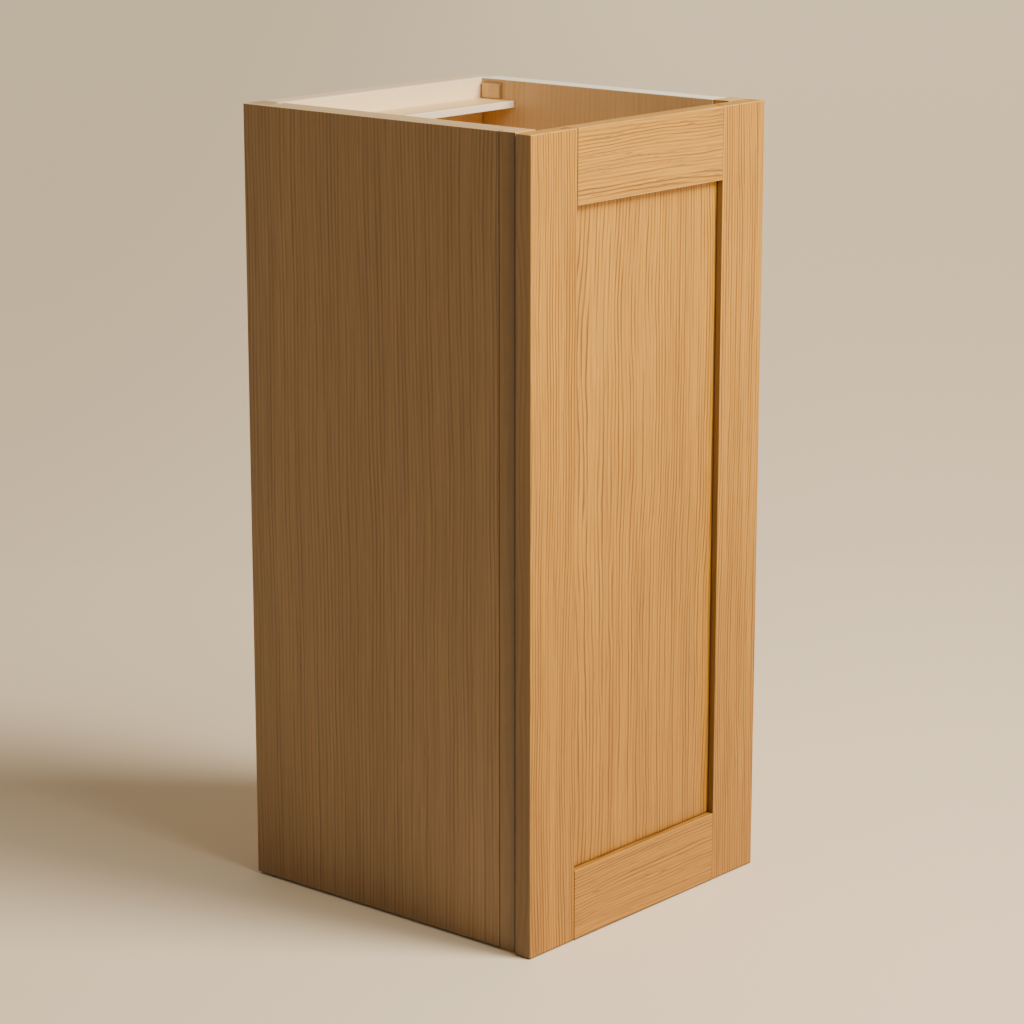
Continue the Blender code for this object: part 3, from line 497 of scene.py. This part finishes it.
def fit_piece(name, build, centre, direction, finish, body, stands_for, crisp=35):
    """Set a bmesh drawn along Z at its place on the cabinet, in place of a modelled node."""
    turn = Vector(direction).to_track_quat("Z", "Y").to_matrix().to_4x4()
    bmesh.ops.transform(build, matrix=turn, verts=build.verts)
    bmesh.ops.translate(build, verts=build.verts, vec=Vector(centre))
    mesh = bpy.data.meshes.new(name)
    build.to_mesh(mesh)
    build.free()
    mesh.shade_smooth()
    mesh.set_sharp_from_angle(angle=math.radians(crisp))
    mesh.materials.append(finish)
    piece = bpy.data.objects.new(name, mesh)
    bpy.context.scene.collection.objects.link(piece)
    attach(piece, body)
    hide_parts(stands_for)
    return piece


def screw_build(head, shank, taper, length, pitch, recess, steps=28):
    """A countersunk wood screw: rounded rim, tapered neck, ridged thread, point, and a cross recess."""
    smooth_neck = length * 0.35
    profile = [(0.0, 0.0), (head * 0.30, 0.0), (head * 0.96, 0.0), (head, -head * 0.06),
               (head * 0.97, -head * 0.14), (shank, -taper), (shank, -smooth_neck)]
    depth = smooth_neck
    while depth < length - 2.5 * shank:
        profile += [(shank, -depth - pitch * 0.35), (shank * 0.72, -depth - pitch * 0.6),
                    (shank * 0.72, -depth - pitch * 0.9)]
        depth += pitch
    profile += [(shank * 0.6, -length + 1.6 * shank), (0.0, -length)]
    build = turned_build(profile, steps)
    crown = [vert for vert in build.verts if abs(vert.co.z) < 1e-6 and vert.co.length < head * 0.5]
    for vert in crown:
        angle = math.atan2(vert.co.y, vert.co.x)
        arm = abs(math.cos(2 * angle))
        reach = head * (0.16 + 0.40 * arm ** 3)
        if vert.co.length > head * 0.1:
            vert.co.x = reach * math.cos(angle)
            vert.co.y = reach * math.sin(angle)
        else:
            vert.co.z = -recess
    return build


zinc = plated("screw_zinc", ZINC, ZINC_DULL, ZINC_POLISH)
for row_name in ("upper", "lower"):
    for side_name, sign in (("left", -1), ("right", 1)):
        node = f"rail_screw_{row_name}_{side_name}"
        low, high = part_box(node)
        head_x = low.x if sign < 0 else high.x
        fit_piece(f"wood_screw_{row_name}_{side_name}",
                  screw_build(RAIL_SCREW_HEAD, RAIL_SCREW_SHANK, RAIL_SCREW_TAPER, high.x - low.x,
                              RAIL_SCREW_PITCH, RAIL_SCREW_RECESS),
                  (head_x, (low.y + high.y) / 2, (low.z + high.z) / 2), (sign, 0, 0), zinc, "cabinet",
                  node)

# ---------------------------------------------------------------------------
# Corner blocks: 3 mm chips of the side's own board, pinned inside the back
# corners above the batten with one brad each. Their edges are painted dark as the shade in the gap round
# them, so only a dark outline shows.
# ---------------------------------------------------------------------------
BLOCK_EASE = 0.0006
BRAD_STEEL = (0.50, 0.50, 0.49)
BRAD_DULL = (0.27, 0.26, 0.25)
BRAD_POLISH = 0.34
for side_name in ("left", "right"):
    block = f"corner_block_{side_name}"
    low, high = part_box(block)
    # Painted shade: the block's edges darken as the gap round it would.
    gap_shade_rim = stain_or_painted_light((None, low.y, low.z), (None, high.y, high.z), 0.0013, 0.7)
    dress(block, wood(block, "Z", RIGHT_SIDE_PITH, SIDE_LIGHT, SIDE_DARK, lines=0.22, pores=0.1, wear=0.2,
                      creases=[gap_shade_rim]), BLOCK_EASE)

brad_steel = plated("brad_steel", BRAD_STEEL, BRAD_DULL, BRAD_POLISH)
for side_name, sign in (("left", -1), ("right", 1)):
    node = f"block_brad_{side_name}"
    low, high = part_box(node)
    radius = (high.z - low.z) / 2
    length = high.x - low.x
    profile = [(0.0, 0.0), (radius * 0.85, 0.0), (radius, -radius * 0.3), (radius, -radius * 0.9),
               (radius * 0.8, -radius * 1.2), (radius * 0.8, -length + 3 * radius), (0.0, -length)]
    fit_piece(f"brad_{side_name}", turned_build(profile, 16),
              (low.x if sign > 0 else high.x, (low.y + high.y) / 2, (low.z + high.z) / 2), (-sign, 0, 0),
              brad_steel, "cabinet", node)

# ---------------------------------------------------------------------------
# Face frame: two stiles and two rails of solid oak, dowelled edge to edge and
# glued to the front of the box. The stiles' outer side faces are painted dark with shade
# like the finished end, deepening as painted shade toward the door, with painted gap
# shade along their front arris. Fluted beech dowels with chamfered ends.
# ---------------------------------------------------------------------------
FRAME_LIGHT = (0.640, 0.325, 0.062)
FRAME_DARK = (0.235, 0.092, 0.012)
FRAME_END = (0.74, 0.47, 0.17)
FLUSH_EDGE_SHADE = (0.135, 0.080, 0.032)
BEHIND_DOOR_SHADE = (0.075, 0.043, 0.016)
FRAME_EASE = 0.0007
BEECH_LIGHT = (0.70, 0.47, 0.28)
BEECH_DARK = (0.56, 0.34, 0.18)
DOWEL_FLUTES = 12
DOWEL_FLUTE_WAIST = 0.965
SHADE_START = 0.001
frame_low, frame_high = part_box("frame_stile_left")
# Painted shade: the stiles' outer side faces are painted nearly as dark as the skin.
flush_edge_shade = stain_or_painted_light((frame_low.x, None, None), (-frame_low.x, None, None), 0.0006, 0.84, "X", FLUSH_EDGE_SHADE)
# Painted shade: the stiles' side faces darken toward the front, where the door overhangs them.
shade_behind_door = stain_or_painted_light((None, frame_low.y - SHADE_START, None), (None, None, None), 0.017, 0.62, "X",
                      BEHIND_DOOR_SHADE)
# Painted shade: the gap between frame and door, as a near-black line on the stiles' front arris.
front_gap_shade = stain_or_painted_light((None, frame_low.y, None), (None, None, None), 0.0022, 0.95, "X", PAINTED_GAP_SHADE)
seam_arris = stain_or_painted_light((None, None, None), (None, frame_high.y, None), 0.0009, 0.40, "X", FRAME_END)
frame_figure = dict(light=FRAME_LIGHT, dark=FRAME_DARK, lines=0.4, pores=0.25)
for stile, pith in (("frame_stile_left", (0.46, 0.42, 9.1)), ("frame_stile_right", (-0.43, 0.33, 10.4))):
    stile_oak = wood(stile, "Z", pith, wave=0.7, end=FRAME_END, wear=0.15,
                     creases=[flush_edge_shade, shade_behind_door, front_gap_shade, seam_arris], **frame_figure)
    dress(stile, stile_oak, FRAME_EASE)
for rail, pith in (("frame_top_rail", (0.30, 0.35, 11.2)), ("frame_bottom_rail", (0.90, 0.36, 12.9))):
    dress(rail, wood(rail, "X", pith, **frame_figure), FRAME_EASE)

for end_name in ("top", "bottom"):
    for side_name in ("left", "right"):
        node = f"frame_dowel_{end_name}_{side_name}"
        low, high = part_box(node)
        radius = (high.z - low.z) / 2
        length = high.x - low.x
        profile = [(0.0, length / 2), (radius * 0.72, length / 2), (radius, length / 2 - radius * 0.4),
                   (radius, -length / 2 + radius * 0.4), (radius * 0.72, -length / 2), (0.0, -length / 2)]
        peg = turned_build(profile, 24)
        for vert in peg.verts:
            groove = round(math.atan2(vert.co.y, vert.co.x) * DOWEL_FLUTES / math.pi) % 2
            flute = DOWEL_FLUTE_WAIST if groove else 1.0
            vert.co.x *= flute
            vert.co.y *= flute
        beech = wood(node, "X", (0.3, 0.4, 26.0), BEECH_LIGHT, BEECH_DARK, lines=0.25, pores=0.15, coat=0.0)
        fit_piece(f"fluted_dowel_{end_name}_{side_name}", peg, (low + high) / 2, (1, 0, 0), beech, "cabinet",
                  node)

# ---------------------------------------------------------------------------
# Shelves: two loose boards in the pale laminate, each on four stepped steel pins
# pushed into the side holes.
# ---------------------------------------------------------------------------
SHELF_EASE = 0.0006
PIN_STEEL = (0.66, 0.65, 0.62)
PIN_DULL = (0.42, 0.41, 0.38)
PIN_POLISH = 0.24
COLLAR_ROUND = 0.0006
dress("shelf_lower", wood("shelf_lower", "X", (0.45, 0.8, 19.1), **pale), SHELF_EASE)
dress("shelf_upper", wood("shelf_upper", "X", (0.65, 0.7, 20.5), **pale), SHELF_EASE)

pin_steel = plated("pin_steel", PIN_STEEL, PIN_DULL, PIN_POLISH)
inner_low, inner_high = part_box("side_panel_right")
for shelf_name in ("lower", "upper"):
    for row_name in ("front", "back"):
        for side_name, sign in (("left", -1), ("right", 1)):
            node = f"shelf_pin_{shelf_name}_{row_name}_{side_name}"
            low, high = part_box(node)
            wall_x = sign * min(abs(inner_low.x), abs(inner_high.x))
            head = (high.z - low.z) / 2
            shank = head * 0.6
            head_length = abs(wall_x) - min(abs(low.x), abs(high.x))
            shank_length = max(abs(low.x), abs(high.x)) - abs(wall_x)
            profile = [(0.0, head_length), (head * 0.55, head_length),
                       (head - COLLAR_ROUND, head_length - 0.0003),
                       (head - 0.0002, head_length - COLLAR_ROUND), (head, head_length - 0.0011),
                       (head, 0.0016), (head * 0.86, 0.0013), (head * 0.86, 0.0010), (head, 0.0007),
                       (head, 0.0003), (shank, 0.0003), (shank, -shank_length + 0.0012),
                       (shank * 0.62, -shank_length), (0.0, -shank_length)]
            fit_piece(f"stepped_pin_{shelf_name}_{row_name}_{side_name}", turned_build(profile, 32),
                      (wall_x, (low.y + high.y) / 2, (low.z + high.z) / 2), (-sign, 0, 0), pin_steel,
                      "cabinet", node)

# ---------------------------------------------------------------------------
# Door: two stiles and two rails of golden oak round a flat panel that floats in
# their grooves. Lacquered satin, with painted shade that darkens it toward the foot, the eased
# arrises rubbed a little paler. Painted shadow darkens the panel's edges, painted gap shade the
# stiles' back edges and a painted contact shadow the foot; the stiles' sides are stained dark and
# deepened with painted shade.
# ---------------------------------------------------------------------------
DOOR_LIGHT = (0.700, 0.335, 0.030)
DOOR_DARK = (0.240, 0.088, 0.008)
DOOR_EASE = 0.0010
PANEL_EASE = 0.0004
OPENING_SHADOW_REACH = 0.0026
RAIL_WARM = (0.710, 0.345, 0.034)
# Painted shade: the door's colour is multiplied darker from just below its top down to its foot.
FOOT_PAINTED_SHADE = (0.71, 0.65, 0.47)
FOOT_SHADE_START = 0.06
SAWN_STAIN_AND_SHADE = (0.160, 0.097, 0.043)
stile_low, stile_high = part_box("door_stile_left")
top_low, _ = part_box("door_rail_top")
bottom_low, bottom_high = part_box("door_rail_bottom")
opening_half = -stile_high.x
# Painted shadow: the panel darkens along the edges of the opening, where the stiles and rails shade it.
panel_edge_shadow = stain_or_painted_light((-opening_half, None, bottom_high.z), (opening_half, None, top_low.z),
                       OPENING_SHADOW_REACH, 0.97, "Y")
joint = stain_or_painted_light((-opening_half, None, None), (opening_half, None, None), 0.0010, 0.6)
# Painted contact shadow: a near-black line along the door's bottom edge.
foot_contact_shadow = stain_or_painted_light((None, None, bottom_low.z), (None, None, None), 0.0020, 0.95, colour=PAINTED_GAP_SHADE)
# Painted shade: the stiles' side faces darken near the back, as the gap to the frame.
back_edge_gap_shade = stain_or_painted_light((None, None, None), (None, stile_high.y, None), 0.0020, 0.95, "X", PAINTED_GAP_SHADE)
painted_foot_shade = dict(from_height=stile_high.z - FOOT_SHADE_START, to_height=stile_low.z, colour=FOOT_PAINTED_SHADE)
door_finish = dict(light=DOOR_LIGHT, dark=DOOR_DARK, rings=330.0, lines=0.85, coat=0.08, foot_shade=painted_foot_shade)
rail_finish = dict(light=RAIL_WARM, dark=DOOR_DARK, rings=400.0, lines=0.72, pores=1.0, wave=1.2, wear=0.6,
                   coat=0.08, foot_shade=painted_foot_shade)
for side_name, pith in (("left", (0.46, 0.52, 0.3)), ("right", (-0.45, 0.52, 1.1))):
    stile = f"door_stile_{side_name}"
    low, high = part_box(stile)
    # The stiles' side faces take stain darker, deepened with painted shade to the tone of the shaded side.
    sawn_edges_stain_and_shade = stain_or_painted_light((low.x, None, None), (high.x, None, None), 0.0010, 0.86, "X", SAWN_STAIN_AND_SHADE)
    stile_oak = wood(stile, "Z", pith, wear=0.6, creases=[sawn_edges_stain_and_shade, back_edge_gap_shade, foot_contact_shadow],
                     **door_finish)
    dress(stile, stile_oak, DOOR_EASE)
for end_name, pith, creases in (("top", (0.16, 0.46, 2.3), [joint]),
                                ("bottom", (0.84, 0.47, 3.7), [joint, foot_contact_shadow])):
    rail = f"door_rail_{end_name}"
    dress(rail, wood(rail, "X", pith, creases=creases, **rail_finish), DOOR_EASE)
panel_oak = wood("door_centre_panel", "Z", (0.30, 0.60, 5.2), wave=1.2, creases=[panel_edge_shadow], **door_finish)
dress("door_centre_panel", panel_oak, PANEL_EASE)

# ---------------------------------------------------------------------------
# Bumpers: two clear stick-on buttons on the back of the door's free stile. Soft
# domed plastic, slightly cloudy, so that the door closes quietly.
# ---------------------------------------------------------------------------
BUMPER_CLEAR = (0.80, 0.80, 0.78)
BUMPER_HAZE = (0.70, 0.70, 0.66)
BUMPER_CELLS = (700.0, 700.0, 700.0)
DOME_STEPS = 6
bumper_clear = bpy.data.materials.new("bumper_plastic")
bumper_clear.use_nodes = True
tree = bumper_clear.node_tree
shader = tree.nodes["Principled BSDF"]
where = tree.nodes.new("ShaderNodeTexCoord")
cloudy = drawn_noise(tree, (where, "Object"), BUMPER_CELLS, 3.0)
feed(tree, shader.inputs["Base Color"], tint(tree, cloudy, BUMPER_CLEAR, BUMPER_HAZE))
feed(tree, shader.inputs["Roughness"], rise(tree, cloudy, 0.3, 0.7, 0.35, 0.55))
shader.inputs["Subsurface Weight"].default_value = 0.2
for bumper_name in ("lower", "upper"):
    node = f"door_bumper_{bumper_name}"
    low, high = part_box(node)
    radius = (high.z - low.z) / 2
    height = high.y - low.y
    profile = [(0.0, height)]
    for step in range(1, DOME_STEPS + 1):
        lean = step * math.pi / (2 * DOME_STEPS)
        profile.append((radius * (0.55 + 0.45 * math.sin(lean)), height * (0.45 + 0.55 * math.cos(lean))))
    profile += [(radius, 0.0), (0.0, 0.0)]
    fit_piece(f"bumper_{bumper_name}", turned_build(profile, 32),
              ((low.x + high.x) / 2, low.y, (low.z + high.z) / 2), (0, 1, 0), bumper_clear, "door",
              node)

# ---------------------------------------------------------------------------
# Concealed hinges: a pressed cup let into the door, a cranked link, a bracket on
# the face frame, two pivot pins and two small screws each. Nickel-plated steel.
# ---------------------------------------------------------------------------
NICKEL = (0.68, 0.66, 0.61)
NICKEL_DULL = (0.45, 0.43, 0.39)
NICKEL_POLISH = 0.22
CUP_WALL = 0.0010
CUP_RIM = 0.0008
CUP_LIP = 0.0018
CUP_ROUND = 0.0022
CUP_ROUND_STEPS = 5
PIN_CHAMFER = 0.0004
HINGE_EASE = 0.00025
HINGE_SCREW_HEAD = 0.0032
HINGE_SCREW_SHANK = 0.0016
HINGE_SCREW_TAPER = 0.0014
HINGE_SCREW_PITCH = 0.0013
HINGE_SCREW_RECESS = 0.0008
nickel = plated("hinge_nickel", NICKEL, NICKEL_DULL, NICKEL_POLISH)
for hinge_name in ("lower", "upper"):
    node = f"hinge_{hinge_name}_cup"
    low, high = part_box(node)
    rim = (high.z - low.z) / 2
    cup_depth = high.y - low.y
    wall = rim - CUP_LIP
    bore = wall - CUP_WALL
    bends = [step * math.pi / (2 * CUP_ROUND_STEPS) for step in range(CUP_ROUND_STEPS + 1)]
    profile = [(0.0, -cup_depth + CUP_WALL)]
    profile += [(bore - CUP_ROUND + CUP_ROUND * math.sin(bend),
                 -cup_depth + CUP_WALL + CUP_ROUND * (1 - math.cos(bend))) for bend in bends]
    profile += [(bore, -0.0006), (bore + 0.0002, -0.0002), (bore + 0.0006, 0.0), (rim - 0.0003, 0.0),
                (rim, -0.0003), (rim, -CUP_RIM), (wall, -CUP_RIM)]
    profile += [(wall - CUP_ROUND + CUP_ROUND * math.cos(bend),
                 -cup_depth + CUP_ROUND * (1 - math.sin(bend))) for bend in bends]
    profile += [(0.0, -cup_depth)]
    fit_piece(f"pressed_cup_{hinge_name}", turned_build(profile, 64),
              ((low.x + high.x) / 2, high.y, (low.z + high.z) / 2), (0, 1, 0), nickel, "door",
              node)
    for body in ("door", "cabinet"):
        node = f"hinge_{hinge_name}_{body}_pin"
        low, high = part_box(node)
        radius = (high.x - low.x) / 2
        half = (high.z - low.z) / 2
        profile = [(0.0, half), (radius * 0.6, half - 0.00008), (radius, half - PIN_CHAMFER),
                   (radius, -half + PIN_CHAMFER), (radius * 0.6, -half + 0.00008), (0.0, -half)]
        fit_piece(f"pivot_pin_{hinge_name}_{body}", turned_build(profile, 24), (low + high) / 2,
                  (0, 0, 1), nickel, body, node)
    for node in (f"hinge_{hinge_name}_link", f"hinge_{hinge_name}_bracket"):
        dress(node, nickel, HINGE_EASE, 2)
    for end_name in ("low", "high"):
        node = f"hinge_{hinge_name}_screw_{end_name}"
        low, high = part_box(node)
        fit_piece(f"hinge_screw_{hinge_name}_{end_name}",
                  screw_build(HINGE_SCREW_HEAD, HINGE_SCREW_SHANK, HINGE_SCREW_TAPER, high.x - low.x,
                              HINGE_SCREW_PITCH, HINGE_SCREW_RECESS),
                  (low.x, (low.y + high.y) / 2, (low.z + high.z) / 2), (-1, 0, 0), zinc, "cabinet",
                  node)

# ---------------------------------------------------------------------------
# Studio: a pale matt floor that the cabinet stands on, painted darker toward the left
# as a painted falloff of light, a large soft key from the right front, an overhead softbox
# in front of the door and a warm surround.
# ---------------------------------------------------------------------------
CAMERA_AZIMUTH = math.radians(-49.49)
FLOOR_RADIUS = 60.0
FLOOR_GAP = 0.0004
FLOOR_NEAR = (0.98, 0.81, 0.560)
FLOOR_FAR = (0.960, 0.795, 0.550)
FLOOR_FARTHEST = (1.0, 0.85, 0.59)
FLOOR_LEFT_SHADE = (0.34, 0.275, 0.185)
FLOOR_JOIN = 1.06
FLOOR_JOIN_BLUR = 0.006
FLOOR_FAR_REACH = (1.1, 10.0)
FLOOR_SHADE_REACH = (0.6, -0.9)
FLOOR_SHADE_AMOUNT = 0.42
FLOOR_ROUGHNESS = 0.65
FLOOR_SHINE = 0.25
KEY_TURN = math.radians(17.0)
KEY_RISE = math.radians(41.0)
KEY_STRENGTH = 3.8
KEY_SPREAD = math.radians(24.0)
KEY_COLOUR = (1.0, 0.94, 0.85)
TOP_LIGHT_PLACE = Vector((0.0, -0.85, 0.95))
TOP_LIGHT_SIZE = 0.8
TOP_LIGHT_WATTS = 20.0
TOP_LIGHT_COLOUR = (1.0, 0.95, 0.88)
SURROUND_COLOUR = (0.74, 0.64, 0.52, 1.0)
SURROUND_STRENGTH = 0.50

right = Vector((math.cos(CAMERA_AZIMUTH), math.sin(CAMERA_AZIMUTH), 0.0))
ahead = Vector((-math.sin(CAMERA_AZIMUTH), math.cos(CAMERA_AZIMUTH), 0.0))
centre = (cad_low + cad_high) / 2

floor_build = bmesh.new()
bmesh.ops.create_circle(floor_build, cap_ends=True, segments=96, radius=FLOOR_RADIUS)
floor_mesh = bpy.data.meshes.new("studio_floor")
floor_build.to_mesh(floor_mesh)
floor_build.free()
floor = bpy.data.objects.new("studio_floor", floor_mesh)
bpy.context.scene.collection.objects.link(floor)
floor.location = (centre.x, centre.y, cad_low.z - FLOOR_GAP)
floor_paint = bpy.data.materials.new("studio_floor")
floor_paint.use_nodes = True
tree = floor_paint.node_tree
shader = tree.nodes["Principled BSDF"]
where = tree.nodes.new("ShaderNodeTexCoord")
distance = vector_maths(tree, "DOT_PRODUCT", (where, "Object"), tuple(ahead), output="Value")
beyond = rise(tree, distance, FLOOR_JOIN - FLOOR_JOIN_BLUR, FLOOR_JOIN + FLOOR_JOIN_BLUR)
across = vector_maths(tree, "DOT_PRODUCT", (where, "Object"), tuple(right), output="Value")
far_sheet = tint(tree, rise(tree, distance, *FLOOR_FAR_REACH), FLOOR_FAR, FLOOR_FARTHEST)
sheet = tint(tree, beyond, FLOOR_NEAR, far_sheet)
# Painted falloff of light: the floor's colour darkens toward the left.
painted_falloff_left = rise(tree, across, *FLOOR_SHADE_REACH, 0.0, FLOOR_SHADE_AMOUNT)
feed(tree, shader.inputs["Base Color"], tint(tree, painted_falloff_left, sheet, FLOOR_LEFT_SHADE))
shader.inputs["Roughness"].default_value = FLOOR_ROUGHNESS
shader.inputs["Specular IOR Level"].default_value = FLOOR_SHINE
floor_mesh.materials.append(floor_paint)

key_direction = (right * math.cos(KEY_TURN) - ahead * math.sin(KEY_TURN)) * math.cos(KEY_RISE)
key_direction += Vector((0.0, 0.0, math.sin(KEY_RISE)))
key = bpy.data.lights.new("key", "SUN")
key.angle = KEY_SPREAD
key.energy = KEY_STRENGTH
key.color = KEY_COLOUR
key_lamp = bpy.data.objects.new("key", key)
bpy.context.scene.collection.objects.link(key_lamp)
key_lamp.rotation_mode = "QUATERNION"
key_lamp.rotation_quaternion = key_direction.to_track_quat("Z", "Y")

top_light = bpy.data.lights.new("overhead", "AREA")
top_light.shape = "DISK"
top_light.size = TOP_LIGHT_SIZE
top_light.energy = TOP_LIGHT_WATTS
top_light.color = TOP_LIGHT_COLOUR
top_lamp = bpy.data.objects.new("overhead", top_light)
bpy.context.scene.collection.objects.link(top_lamp)
top_lamp.location = Vector((0.0, centre.y, cad_high.z)) + TOP_LIGHT_PLACE
top_lamp.rotation_mode = "QUATERNION"
top_lamp.rotation_quaternion = TOP_LIGHT_PLACE.to_track_quat("Z", "Y")

surround = bpy.data.worlds.new("studio")
surround.use_nodes = True
backdrop = surround.node_tree.nodes["Background"]
backdrop.inputs["Color"].default_value = SURROUND_COLOUR
backdrop.inputs["Strength"].default_value = SURROUND_STRENGTH
bpy.context.scene.world = surround

# ---------------------------------------------------------------------------
# Camera: the usual catalogue view of a wall cabinet, from the left front corner
# and a little above, through a long lens.
# ---------------------------------------------------------------------------
CAMERA_ELEVATION = math.radians(13.9)
CAMERA_DISTANCE = 2.845
CAMERA_LENS = 114.2
CAMERA_FILM = 36.0
CAMERA_AIM = Vector((0.0091, -0.1605, -0.3282))
camera_data = bpy.data.cameras.new("catalogue_view")
camera_data.lens = CAMERA_LENS
camera_data.sensor_width = CAMERA_FILM
camera = bpy.data.objects.new("catalogue_view", camera_data)
bpy.context.scene.collection.objects.link(camera)
towards_camera = -ahead * math.cos(CAMERA_ELEVATION) + Vector((0.0, 0.0, math.sin(CAMERA_ELEVATION)))
camera.location = CAMERA_AIM + towards_camera * CAMERA_DISTANCE
camera.rotation_mode = "QUATERNION"
camera.rotation_quaternion = towards_camera.to_track_quat("Z", "Y")
bpy.context.scene.camera = camera
